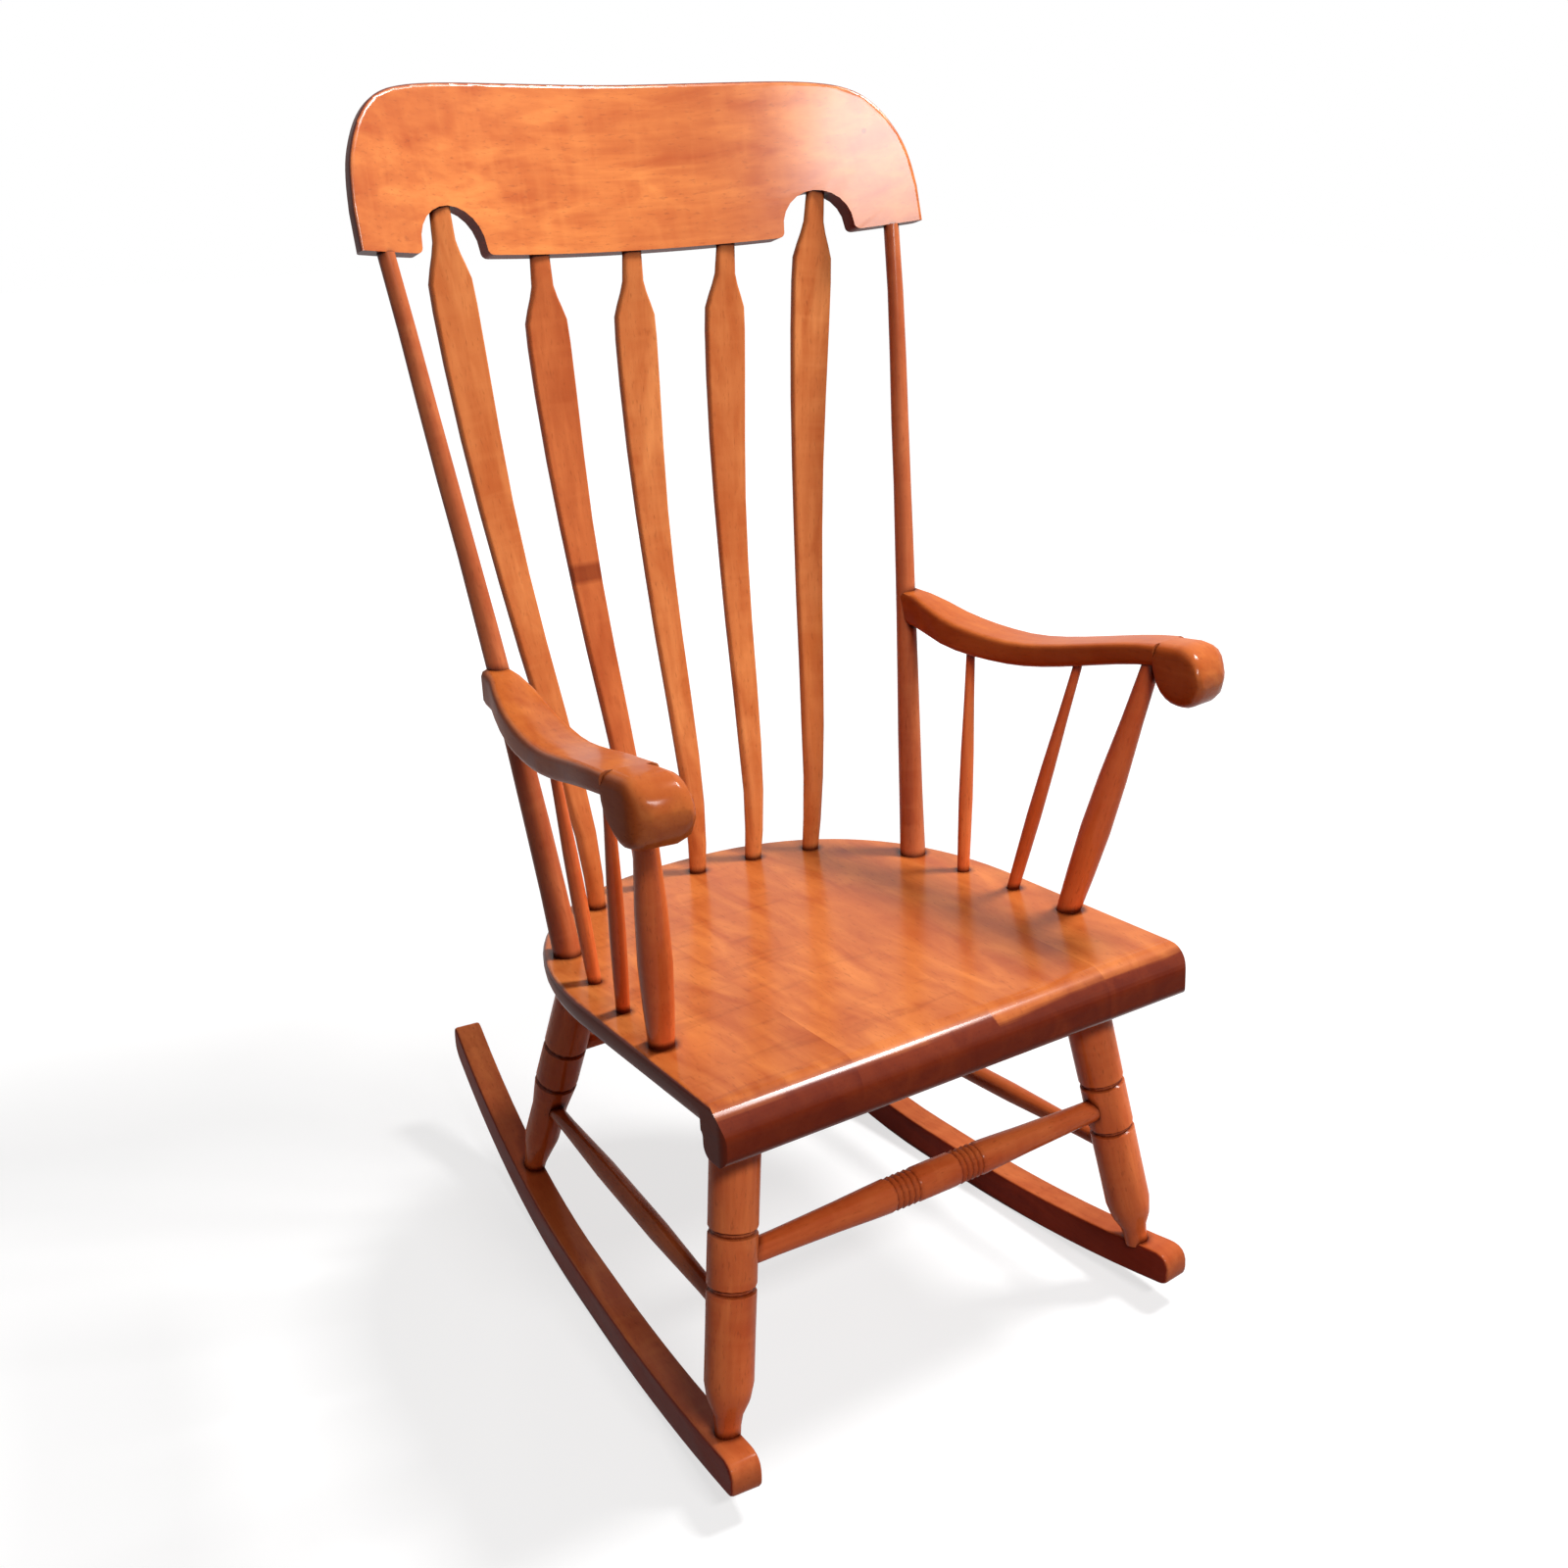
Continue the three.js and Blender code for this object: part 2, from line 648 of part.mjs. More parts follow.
function makeCrest() {
  const board = new THREE.ExtrudeGeometry(crestOutline(), {
    depth: crestThickness - 2 * crestEdgeRound,
    bevelThickness: crestEdgeRound,
    bevelSize: crestEdgeRound,
    bevelOffset: -crestEdgeRound,
    bevelSegments: 3,
    curveSegments: crestEdgeSteps,
  });
  board.translate(0, 0, crestEdgeRound - crestThickness);
  const under = new THREE.ExtrudeGeometry(crestUnderShape(), {
    depth: crestThickness + 2 * overrun,
    bevelEnabled: false,
    curveSegments: arcSteps,
  });
  under.translate(0, 0, -(crestThickness + overrun));
  const flat = toGeometry(toSolid(board).subtract(toSolid(under)));
  flat.rotateX(Math.PI / 2);
  const planes = [];
  for (let step = 1; step < bowSteps; step += 1) {
    planes.push(crestHalfLength * (2 * (step / bowSteps) - 1));
  }
  const bent = sliceAcross(flat, planes);
  const place = bent.attributes.position;
  for (let at = 0; at < place.count; at += 1) {
    place.setY(at, place.getY(at) - crestBow(Math.min(Math.abs(place.getX(at)), crestHalfLength)));
  }
  return toGeometry(toSolid(bent));
}

const crest = addPiece(crestFrame, "crest_rail", makeCrest(), lightWood);

// Back posts, from the seat to the crest, bent a little to the front and inward
const postFootSide = seatHalfWidth - postFootInset;
const postTopSide = crestHalfLength - postTopInset;

function postCentre(side, share) {
  const foot = new THREE.Vector3(side * postFootSide, postFootBack, 0);
  const top = inCrest(side * postTopSide, 0, postStickDepth);
  if (share > 1) return top.addScaledVector(boardUp, (share - 1) * foot.distanceTo(top));
  const point = foot.lerp(top, share);
  const bent = Math.max(share, 0);
  point.y -= postSway * (follow(postSwayShares, bent) - follow(postSwayShares, 1) * bent);
  point.x -= side * postDraw * follow(postDrawShares, bent);
  return point;
}

function postRings(side, grow) {
  const length = postCentre(side, 0).distanceTo(postCentre(side, 1));
  const rows = [[-seatSocketDepth / length, postFootRadius]];
  for (const [share, wide] of postRadiusShares) {
    rows.push([share, postNeckRadius + wide * (postFootRadius - postNeckRadius)]);
  }
  rows.push([1, postTenonRadius], [1 + crestSocketDepth / length, postTenonRadius]);
  return rows.map(([share, radius], number) => {
    const ahead = postCentre(side, share + 0.01).sub(postCentre(side, share - 0.01)).normalize();
    const direction = share < 1 ? ahead : boardUp;
    const end = number === 0 ? -grow : number === rows.length - 1 ? grow : 0;
    const centre = postCentre(side, share).addScaledVector(direction, end);
    return roundRing(centre, direction, radius + grow, postSides);
  });
}

function addBackPost(name, side) {
  const piece = addPiece(seatFrame, name, toGeometry(toSolid(loft(postRings(side, 0)))), lightWood);
  return { piece, cutter: { geometry: loft(postRings(side, fit)), frame: seatFrame } };
}

const backPosts = {
  "-1": addBackPost("back_post_left", -1),
  1: addBackPost("back_post_right", 1),
};

// Arrow spindles: flat blades with a round foot, swayed to the sitter's back
function arrowRings({ side, footSide, footBack, topSide, spread, turn }, grow) {
  const topAcross = topSide * crestHalfLength;
  const inNotch = topAcross > notchMiddle - notchHalfWidth;
  const foot = new THREE.Vector3(side * footSide * seatHalfWidth, footBack * seatBack, 0);
  const top = inCrest(side * topAcross, inNotch ? notchHeight : 0, crestStickDepth);
  const rise = top.z;
  const face = across.clone().applyAxisAngle(new THREE.Vector3(0, 0, 1), -side * degrees(turn));
  const centre = (share) => {
    if (share > 1) return top.clone().addScaledVector(boardUp, (share - 1) * rise);
    const point = foot.clone().lerp(top, share);
    const sway = arrowSway * follow(arrowSwayShares, Math.max(share, 0));
    point.y += sway;
    point.x += side * spread * sway;
    return point;
  };
  const stations = [-seatSocketDepth / rise, 0];
  for (const [share] of arrowWidthShares.slice(1, -1)) stations.push(share);
  stations.push(1, 1 + crestSocketDepth / rise);
  return stations.map((share, number) => {
    const within = THREE.MathUtils.clamp(share, 0, 1);
    const width = arrowFootWidth + (arrowBladeWidth - arrowFootWidth) * follow(arrowWidthShares, within);
    const deep = follow(arrowDepthShares, within);
    const depth = share < 1 ? arrowBladeDepth + deep * (arrowFootDepth - arrowBladeDepth) : arrowTenonDepth;
    const end = number === 0 ? -grow : number === stations.length - 1 ? grow : 0;
    const point = centre(share);
    const along = centre(share + 0.01).sub(centre(share - 0.01)).normalize();
    const ahead = share < 1 ? along : boardUp;
    point.addScaledVector(ahead, end);
    const out = ahead.clone().cross(face).normalize();
    const wide = out.clone().cross(ahead).normalize();
    const fullRound = Math.min(width, depth) / 2;
    const round = arrowBladeRound + (fullRound - arrowBladeRound) * follow(arrowRoundShares, within);
    return roundedSection(width / 2 + grow, depth / 2 + grow, round, 2).map(([x, y]) => (
      point.clone().addScaledVector(wide, x).addScaledVector(out, y)
    ));
  });
}

const arrows = arrowFeet.map((spindle) => {
  const geometry = toGeometry(toSolid(loft(arrowRings(spindle, 0))));
  const piece = addPiece(seatFrame, `arrow_spindle_${spindle.name}`, geometry, lightWood);
  return { piece, cutter: { geometry: loft(arrowRings(spindle, fit)), frame: seatFrame } };
});

// Arms: a sweeping bar with rounded edges that ends in a round scroll
const armEnd = -(scrollFront + scrollRadius);

const scrollHeight = armTopHeight - scrollRadius;

function armStation(y) {
  const run = armRearBack + scrollFront;
  const share = THREE.MathUtils.clamp((armRearBack - y) / run, 0, 1);
  const sag = armTopHeight - armDip * follow(armDipShares, share);
  const depth = armFrontDepth + (armRearDepth - armFrontDepth) * follow(armDepthShares, share);
  const width = armRearWidth + (armWidth - armRearWidth) * follow(armWidthShares, share);
  const middle = armRearSide + (armFrontSide - armRearSide) * follow(armSideShares, share);
  const beside = y + scrollFront;
  const chord = Math.sqrt(Math.max(scrollRadius * scrollRadius - beside * beside, 0));
  const top = beside < 0 ? scrollHeight + chord : sag;
  const behind = Math.abs(beside) < scrollRadius ? Math.min(sag - depth, scrollHeight - chord) : sag - depth;
  const under = beside < 0 ? scrollHeight - chord : behind;
  const round = beside < scrollRadius ? scrollEdgeRound : armEdgeRound;
  return { middle, width, top, under, round };
}

// How far a corner of the scroll's plan, rounded by a radius, is drawn in at a station
function cornerDraw(y, radius) {
  const within = Math.max(radius - (y - armEnd), 0);
  return radius - Math.sqrt(radius * radius - within * within);
}

function armRings(side) {
  const stations = [];
  const bodySteps = 15;
  for (let step = 0; step <= bodySteps; step += 1) {
    const back = armRearBack + 4 * overrun;
    stations.push(back + (-(scrollFront - scrollRadius) - back) * (step / bodySteps));
  }
  const scrollSteps = 12;
  for (let step = 1; step < scrollSteps; step += 1) {
    stations.push(-scrollFront + scrollRadius * Math.cos((step / scrollSteps) * Math.PI));
  }
  stations.push(armEnd + fit);
  const turn = degrees(armTurnAngle);
  return stations.map((y) => {
    const { middle, width, top, under, round } = armStation(y);
    const outer = width / 2 - cornerDraw(y, scrollOuterRound);
    const inner = width / 2 - cornerDraw(y, scrollInnerRound);
    const section = roundedSection((outer + inner) / 2, (top - under) / 2, round, 2);
    return section.map(([x, z]) => {
      const beside = side * x + (outer - inner) / 2;
      return new THREE.Vector3(
        side * (middle + beside * Math.cos(turn)),
        y + beside * Math.sin(turn),
        (top + under) / 2 + z,
      );
    });
  });
}

function makeArm(name, side) {
  return addPiece(seatFrame, name, toGeometry(toSolid(loft(armRings(side)))), lightWood);
}

const arms = { "-1": makeArm("arm_left", -1), 1: makeArm("arm_right", 1) };

// A share of the seat's depth, to its front when negative and to its back when positive
function onSeat(share) {
  return share < 0 ? share * seatFront : share * seatBack;
}

// Front posts and spindles between the seat and the arms
function underArmStick(name, side, { footSide, footBack, topBack, inset }, radii, sides) {
  const foot = new THREE.Vector3(side * footSide * seatHalfWidth, onSeat(footBack), 0);
  const { middle, under } = armStation(onSeat(topBack));
  const top = new THREE.Vector3(side * (middle - inset * armWidth), onSeat(topBack), under);
  const length = foot.distanceTo(top);
  return addTurned(name, foot, top, [
    [-seatSocketDepth, radii.foot],
    [0, radii.foot],
    [0.16 * length, radii.foot + 0.6 * (radii.swell - radii.foot)],
    [0.34 * length, radii.swell],
    [0.55 * length, radii.top + 0.8 * (radii.swell - radii.top)],
    [0.78 * length, radii.top + 0.3 * (radii.swell - radii.top)],
    [length, radii.top],
    [length + armSocketDepth, radii.top],
  ], sides, lightWood);
}

const armPostRadii = { foot: armPostFootRadius, swell: armPostSwellRadius, top: armPostTopRadius };
const armSpindleRadii = { foot: armSpindleFootRadius, swell: armSpindleSwellRadius, top: armSpindleTopRadius };
const armSticks = { "-1": [], 1: [] };
for (const [side, word] of [[-1, "left"], [1, "right"]]) {
  armSticks[side].push(underArmStick(`arm_post_${word}`, side, armPost, armPostRadii, postSides));
  for (const spindle of armSpindles) {
    const name = `arm_spindle_${spindle.name}_${word}`;
    armSticks[side].push(underArmStick(name, side, spindle, armSpindleRadii, spindleSides));
  }
}

// Legs, from the seat's underside to the rockers
function ringedProfile(length, swellRadius) {
  const rows = [
    [-legTenonDepth, legTenonRadius],
    [-legBedDepth, legTenonRadius],
    [-legBedDepth, legFootRadius],
    [0.02 * length, legFootRadius],
    [0.055 * length, legAnkleRadius],
    [0.1 * length, swellRadius - ringDepth],
    [0.15 * length, swellRadius],
    [0.3 * length, swellRadius],
  ];
  for (const share of [...legRingShares].reverse()) {
    const middle = (1 - share) * length;
    rows.push([middle - ringHalfWidth, legMiddleRadius]);
    rows.push([middle - ringHalfWidth / 3, legMiddleRadius - ringDepth]);
    rows.push([middle + ringHalfWidth / 3, legMiddleRadius - ringDepth]);
    rows.push([middle + ringHalfWidth, legMiddleRadius]);
  }
  rows.push([0.8 * length, legTopRadius]);
  rows.push([0.94 * length, legTopRadius]);
  rows.push([length, legShoulderRadius]);
  rows.push([length + legBedDepth, legShoulderRadius]);
  rows.push([length + legBedDepth, legTopTenonRadius]);
  rows.push([length + seatSocketDepth, legTopTenonRadius]);
  return rows;
}

const legSticks = {};
for (const { name, side, topSide, topBack, footBack } of legs) {
  const top = new THREE.Vector3(side * topSide * seatHalfWidth, onSeat(topBack), -seatThickness);
  const footSide = rockerSide(footBack) - legFootInset;
  const foot = inSeatFrame(new THREE.Vector3(side * footSide, footBack, rockerTop(footBack)));
  const length = foot.distanceTo(top);
  const swell = topBack < 0 ? legSwellRadius : rearLegSwellRadius;
  const stick = addTurned(`leg_${name}`, foot, top, ringedProfile(length, swell), legSides, lightWood);
  legSticks[name] = { ...stick, side, foot, top, length };
}

// A point on a leg's axis, at a share of the way down from the seat
function onLeg(name, share) {
  const { foot, top } = legSticks[name];
  return top.clone().lerp(foot, share);
}

// Stretchers between the legs, each ending short of the leg's axis
function addStretcher(name, from, to, endRadius, middleRows, colour = lightWood) {
  const length = from.distanceTo(to);
  const inset = stretcherSetback;
  const rows = [[inset, endRadius], ...middleRows(length), [length - inset, endRadius]];
  return addTurned(name, from, to, rows, spindleSides, colour);
}

function plainRows(radius) {
  return (length) => [
    [0.12 * length, stretcherEndRadius],
    [0.35 * length, radius],
    [0.65 * length, radius],
    [0.88 * length, stretcherEndRadius],
  ];
}

// A bulb that narrows to both ends, with a band of grooves on each side of its middle
function beadedRows(length) {
  const radiusAt = (at) => {
    const share = Math.min(at, length - at) / length;
    const wide = follow(frontStretcherShares, share);
    return frontStretcherEndRadius + wide * (frontStretcherRadius - frontStretcherEndRadius);
  };
  const rows = [];
  for (const [share] of frontStretcherShares.slice(1)) {
    rows.push([share * length, radiusAt(share * length)]);
    if (share < 0.5) rows.push([(1 - share) * length, radiusAt(share * length)]);
  }
  const band = frontBeadCount * frontBeadPitch;
  for (const share of frontBeadShares) {
    const start = share * length - band / 2;
    for (let bead = 0; bead < frontBeadCount; bead += 1) {
      const at = start + bead * frontBeadPitch;
      rows.push([at, radiusAt(at)]);
      rows.push([at + frontBeadPitch / 2, radiusAt(at + frontBeadPitch / 2) - frontBeadDepth]);
    }
    rows.push([start + band, radiusAt(start + band)]);
  }
  const inBand = (at) => frontBeadShares.some((share) => Math.abs(at - share * length) < band / 2);
  const beads = rows.slice(2 * frontStretcherShares.length - 3);
  const plain = rows.slice(0, 2 * frontStretcherShares.length - 3).filter(([at]) => !inBand(at));
  return [...plain, ...beads].sort(([one], [other]) => one - other);
}

const frontStretcher = addStretcher(
  "front_stretcher", onLeg("front_left", frontStretcherShare), onLeg("front_right", frontStretcherShare),
  frontStretcherEndRadius, beadedRows,
);
const rearStretcher = addStretcher(
  "rear_stretcher", onLeg("rear_left", rearStretcherShare), onLeg("rear_right", rearStretcherShare),
  stretcherEndRadius, plainRows(rearStretcherRadius),
);
const sideStretchers = {};
for (const [side, word] of [[-1, "left"], [1, "right"]]) {
  sideStretchers[side] = addStretcher(
    `side_stretcher_${word}`,
    onLeg(`front_${word}`, sideStretcherFrontShare),
    onLeg(`rear_${word}`, sideStretcherRearShare),
    stretcherEndRadius,
    plainRows(sideStretcherRadius),
  );
}

// Screws through the back posts into the arms
function addArmScrew(name, side) {
  const height = armTopHeight - armRearDepth / 2;
  const post = backPosts[side];
  const share = height / postCentre(side, 1).z;
  const radius = postNeckRadius + (postFootRadius - postNeckRadius) * follow(postRadiusShares, share);
  const head = postCentre(side, share);
  head.y += radius + screwHeadDepth - screwSink;
  const tip = head.clone();
  tip.y -= screwLength;
  const stick = addTurned(name, head, tip, [
    [0, 0.7 * screwHeadRadius],
    [screwHeadDepth / 2, screwHeadRadius],
    [screwHeadDepth, screwHeadRadius],
    [screwHeadDepth, screwShankRadius],
    [0.9 * screwLength, screwShankRadius],
    [screwLength, 0.3 * screwShankRadius],
  ], boltSides, plate);
  stick.piece.material.metalness = 1;
  return { ...stick, post };
}

// Pins that lock each leg's tenon in its rocker, driven from the inner side
function addRockerPin({ name, side, footBack }) {
  const height = rockerTop(footBack) - legBedDepth - (legTenonDepth - legBedDepth) / 2;
  const footSide = rockerSide(footBack) - legFootInset;
  const lean = inSeatFrame(new THREE.Vector3(side * footSide, footBack, height));
  const { foot, top } = legSticks[name];
  const axis = top.clone().sub(foot).normalize();
  const centre = foot.clone().addScaledVector(axis, (lean.z - foot.z) / axis.z);
  const inward = new THREE.Vector3(-side * Math.cos(toeIn), -Math.sin(toeIn), 0);
  const surface = rockerThickness / 2 - legFootInset;
  const start = centre.clone().addScaledVector(inward, surface);
  const end = centre.clone().addScaledVector(inward, surface - pinLength);
  const rows = [[fit, pinRadius], [pinLength, pinRadius]];
  return addTurned(`rocker_pin_${name}`, start, end, rows, boltSides, darkWood);
}

const screws = { "-1": addArmScrew("arm_screw_left", -1), 1: addArmScrew("arm_screw_right", 1) };
const pins = Object.fromEntries(legs.map((leg) => [leg.name, addRockerPin(leg)]));

// Sockets and cuts, now that every stick is in place
const allLegs = Object.values(legSticks);
cut(seat, [
  ...Object.values(backPosts).map(({ cutter }) => cutter),
  ...arrows.map(({ cutter }) => cutter),
  ...armSticks[-1].map(({ cutter }) => cutter),
  ...armSticks[1].map(({ cutter }) => cutter),
  ...allLegs.map(({ cutter }) => cutter),
]);
cut(crest, [
  ...Object.values(backPosts).map(({ cutter }) => cutter),
  ...arrows.map(({ cutter }) => cutter),
]);
for (const side of [-1, 1]) {
  cut(arms[side], [
    backPosts[side].cutter,
    screws[side].cutter,
    ...armSticks[side].map(({ cutter }) => cutter),
  ]);
  cut(backPosts[side].piece, [screws[side].cutter]);
  const own = allLegs.filter((leg) => leg.side === side).map(({ cutter }) => cutter);
  const ownPins = legs.filter((leg) => leg.side === side).map(({ name }) => pins[name].cutter);
  cut(rockers[side], [...own, ...ownPins]);
}
for (const { name, side } of legs) {
  const crossing = name.startsWith("front") ? frontStretcher : rearStretcher;
  cut(legSticks[name].piece, [crossing.cutter, sideStretchers[side].cutter, pins[name].cutter]);
}

// The origin lies on the floor, under the middle of the chair's bounding box
const box = new THREE.Box3().setFromObject(chair, true);
const middle = box.getCenter(new THREE.Vector3());
const part = new THREE.Group();
part.add(chair);
chair.position.set(-middle.x, -middle.y, -box.min.z);
part.updateMatrixWorld(true);

export default part;
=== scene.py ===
import math

import bpy
import numpy as np
from mathutils import Matrix, Vector

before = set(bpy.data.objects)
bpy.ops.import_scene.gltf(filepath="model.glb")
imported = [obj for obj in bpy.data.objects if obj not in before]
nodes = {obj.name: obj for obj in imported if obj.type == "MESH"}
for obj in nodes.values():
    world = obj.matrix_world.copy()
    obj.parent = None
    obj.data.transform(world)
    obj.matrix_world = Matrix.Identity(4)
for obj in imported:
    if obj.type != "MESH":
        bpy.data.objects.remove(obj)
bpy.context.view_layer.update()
scene = bpy.context.scene

# Stained wood in screen colours from 0 to 255: middle, dark and light
TONES = {
    "crest": ((217, 110, 42), (174, 76, 24), (236, 146, 74)),
    "arm": ((198, 102, 42), (164, 72, 28), (214, 126, 62)),
    "seat": ((206, 110, 50), (166, 76, 32), (224, 138, 72)),
    "arrow": ((220, 130, 70), (184, 90, 42), (234, 150, 88)),
    "post": ((196, 102, 60), (164, 74, 40), (212, 124, 76)),
    # base is written lighter than its wood looks: painted light that makes up for the shade on
    # the legs, stretchers, arm posts and arm spindles
    "base": ((240, 120, 60), (200, 84, 38), (250, 142, 80)),
    "rocker": ((206, 104, 54), (170, 74, 36), (222, 126, 70)),
    "red_arrow": ((212, 114, 60), (172, 78, 38), (228, 134, 76)),
}
FLECK = (110, 42, 18)
# The tone of a piece by its whole name or else by how its name starts, and base for the rest
TONE_NAMES = {
    "arrow_spindle_left_inner": "red_arrow",
    "seat": "seat",
    "crest": "crest",
    "arm_left": "arm",
    "arm_right": "arm",
    "arrow": "arrow",
    "back": "post",
    "rocker": "rocker",
    "side": "rocker",
}

# Layers of the wood: repeats in a metre along the grain and twice across it, detail,
# distortion, and the two noise values between which the layer's share changes, from and to
LAYERS = {
    "clouds": ((11, 34, 34), 3, 0.8, (0.3, 0.7, 0, 1)),
    "streaks": ((10, 170, 170), 5, 0.4, (0.36, 0.62, 0.3, 0)),
    "curl": ((70, 12, 12), 2, 0.5, (0.45, 0.7, 0, 0.22)),
    "flecks": ((110, 430, 430), 2, 0.0, (0.6, 0.74, 0, 0.3)),
    "patches": ((4, 7, 7), 1, 0.0, (0.35, 0.6, 0.45, 0)),
}
SEAT_LAYERS = {
    **LAYERS,
    "streaks": ((10, 90, 330), 5, 0.4, (0.36, 0.62, 0.16, 0)),
    "curl": ((70, 12, 12), 2, 0.5, (0.45, 0.7, 0, 0.1)),
}
MIDDLE_SHARE = 0.3
NOISE_SPAN = (0.3, 0.7)
GRAIN_STEP = Vector((1.7, 0.9, 0.37))
AXIS_POINTS = 4000
BUMP_FLECKS = 0.3
BUMP_STRENGTH = 0.05
BUMP_DEPTH = 0.0005

# The seat's boards, glued side by side: where each starts across the seat, and its shade
BOARD_REACH = 0.25
SEAT_BOARDS = (
    (-0.25, (0.98, 0.96, 0.94)),
    (-0.115, (1.03, 1.02, 1.0)),
    (0.027, (0.97, 0.93, 0.9)),
    (0.15, (1.02, 1.0, 0.98)),
)
BOARD_SHIFT = (31, 17, 0)
SEAT_TIP = math.radians(4.2)
SEAT_GRAIN = Matrix((
    (0, math.cos(SEAT_TIP), -math.sin(SEAT_TIP)),
    (-1, 0, 0),
    (0, math.sin(SEAT_TIP), math.cos(SEAT_TIP)),
))

# Darker sides and edges with less lacquer: stain and painted shade on the seat and the crest,
# painted shade only on the runners and the arms. The axis of the normal that tells an edge from
# a face, between which of its values the darkening ends, the shade, and between which thin
# lacquer becomes full
# The runners' and the arms' darker side faces are painted shade
RUNNER_PAINTED_SHADE = ("X", 0.85, 0.6, (0.6, 0.3, 0.42), (0.9, 0.7))
ARM_PAINTED_SHADE = ("X", 0.85, 0.6, (0.84, 0.72, 0.75), (0.85, 0.6))
STAIN_AND_PAINTED_SHADE = {
    "seat": ("Z", 0.8, 0.98, (0.31, 0.14, 0.13), (0.3, 0.5)),
    "crest_rail": ("Y", 0.45, 0.78, (0.26, 0.12, 0.12), (0.3, 0.5)),
    "rocker_left": RUNNER_PAINTED_SHADE,
    "rocker_right": RUNNER_PAINTED_SHADE,
    "arm_left": ARM_PAINTED_SHADE,
    "arm_right": ARM_PAINTED_SHADE,
}
EDGE_WANDER = 0.05
EDGE_COAT = 0.25
# Where across the seat its darker edge, of stain and painted shade, is worn back or runs
# further in, and by how much
SEAT_EDGE_WEAR = ((0.0255, 0.0285, 0.22), (0.045, 0.11, -0.15))
# Painted shade from ambient occlusion: darker in grooves and where pieces meet each other or
# the floor
GROOVE_PAINTED_SHADE = (0.17, 0.09, 0.08)
GROOVE_REACH = 0.008
GROOVE_SPAN = (0.62, 0.98)
GROOVE_SAMPLES = 8
# Marks: a dark band between two heights, and a small spot with its centre and radius
BANDS = {"arrow_spindle_left_inner": (0.6405, 0.6575, (0.55, 0.42, 0.4))}
BAND_EDGE = (0.7, 1.3)
SPOTS = {"crest_rail": ((0.2449, 0.2027, 1.0342), 0.0028, (0.5, 0.45, 0.5))}
SPOT_EDGE = (0.6, 1.2)

# Clear lacquer: its weight and roughness. Under it the wood itself hardly mirrors
ARM_LACQUER = (0.25, 0.16)
LACQUER = {
    "seat": (0.45, 0.19),
    "crest_rail": (0.85, 0.25),
    "arm_left": ARM_LACQUER,
    "arm_right": ARM_LACQUER,
}
PLAIN_LACQUER = (0.2, 0.16)
LACQUER_IOR = 1.5
WOOD_IOR = 1.08
PORE_TINT = (0.95, 0.5, 0.28)
WOOD_ROUGHER = (0.2, 0.34)

BRASS = ((188, 150, 84), (222, 190, 120))
BRASS_GRAIN = 900
BRASS_ROUGHNESS = (0.26, 0.42)

SMOOTH_ANGLE = math.radians(48)
WELD_REACH = 1e-5
NORMAL_WEIGHT = 50

FLOOR_REACH = 9.0
FLOOR_FADE = (0.7, 2.4)
FLOOR_GLOW = (0.7, 1.0)
WHITE = (1, 1, 1, 1)
FLOOR_MATT = (0.34, 0.34, 0.34, 1)
DIM_FLOOR = (0.18, 0.11, 0.09, 1)
DIM_ROOM = (1.0, 0.86, 0.8, 1)
DIM_STRENGTH = 0.08

# Lamps: place, what it looks at, width and height, power, and whether it shows in reflections
LAMPS = {
    "overhead": ((1.35, -0.45, 2.9), (0, 0, 0.4), (0.5, 0.6), 90, True),
    "front": ((-0.32, -2.56, 2.62), (0, 0, 0.8), (1.1, 0.35), 55, True),
    "back": ((0.9, 2.7, 1.7), (0, 0, 0.5), (1.2, 1.2), 20, False),
}

# The photograph's camera: millimetres, its place, and its own three axes
SENSOR = 36
LENS = 40.05
CAMERA_PLACE = (-0.81978, -1.24576, 1.08602)
CAMERA_RIGHT = (0.830397, -0.557172, 0.0)
CAMERA_UP = (0.210343, 0.31349, 0.926002)
CAMERA_BACK = (-0.515943, -0.768949, 0.377518)


def screen(rgb):
    """A screen colour as linear values."""
    out = []
    for value in rgb:
        share = value / 255
        out.append(share / 12.92 if share <= 0.04045 else ((share + 0.055) / 1.055) ** 2.4)
    return (*out, 1.0)


def put(tree, socket, value):
    """Links a socket to another, or sets its value."""
    if isinstance(value, bpy.types.NodeSocket):
        tree.links.new(value, socket)
    else:
        socket.default_value = value


def add(tree, kind, **inputs):
    """A shader node with some of its inputs set or linked."""
    node = tree.nodes.new(kind)
    for name, value in inputs.items():
        put(tree, node.inputs[name.replace("_", " ")], value)
    return node


def worked(tree, kind, operation, *values):
    """A Math or Vector Math node with its first inputs set or linked."""
    node = tree.nodes.new(kind)
    node.operation = operation
    for socket, value in zip(node.inputs, values):
        put(tree, socket, value)
    return node


def computed(tree, operation, *values):
    """The result of a Math node."""
    return worked(tree, "ShaderNodeMath", operation, *values).outputs[0]


def mixed(tree, factor, low, high, blend="MIX"):
    """A colour between two others."""
    node = tree.nodes.new("ShaderNodeMix")
    node.data_type = "RGBA"
    node.blend_type = blend
    for number, value in ((0, factor), (6, low), (7, high)):
        put(tree, node.inputs[number], value)
    return node.outputs[2]


def shaded(tree, factor, base, shade):
    """The base colour, and where the factor is 1 the base times a shade."""
    return mixed(tree, factor, base, mixed(tree, 1.0, base, (*shade, 1), "MULTIPLY"))


def ranged(tree, value, low, high, to_low, to_high):
    """A value carried from one range to another, and held at its ends."""
    return add(
        tree, "ShaderNodeMapRange",
        Value=value, From_Min=low, From_Max=high, To_Min=to_low, To_Max=to_high,
    ).outputs["Result"]


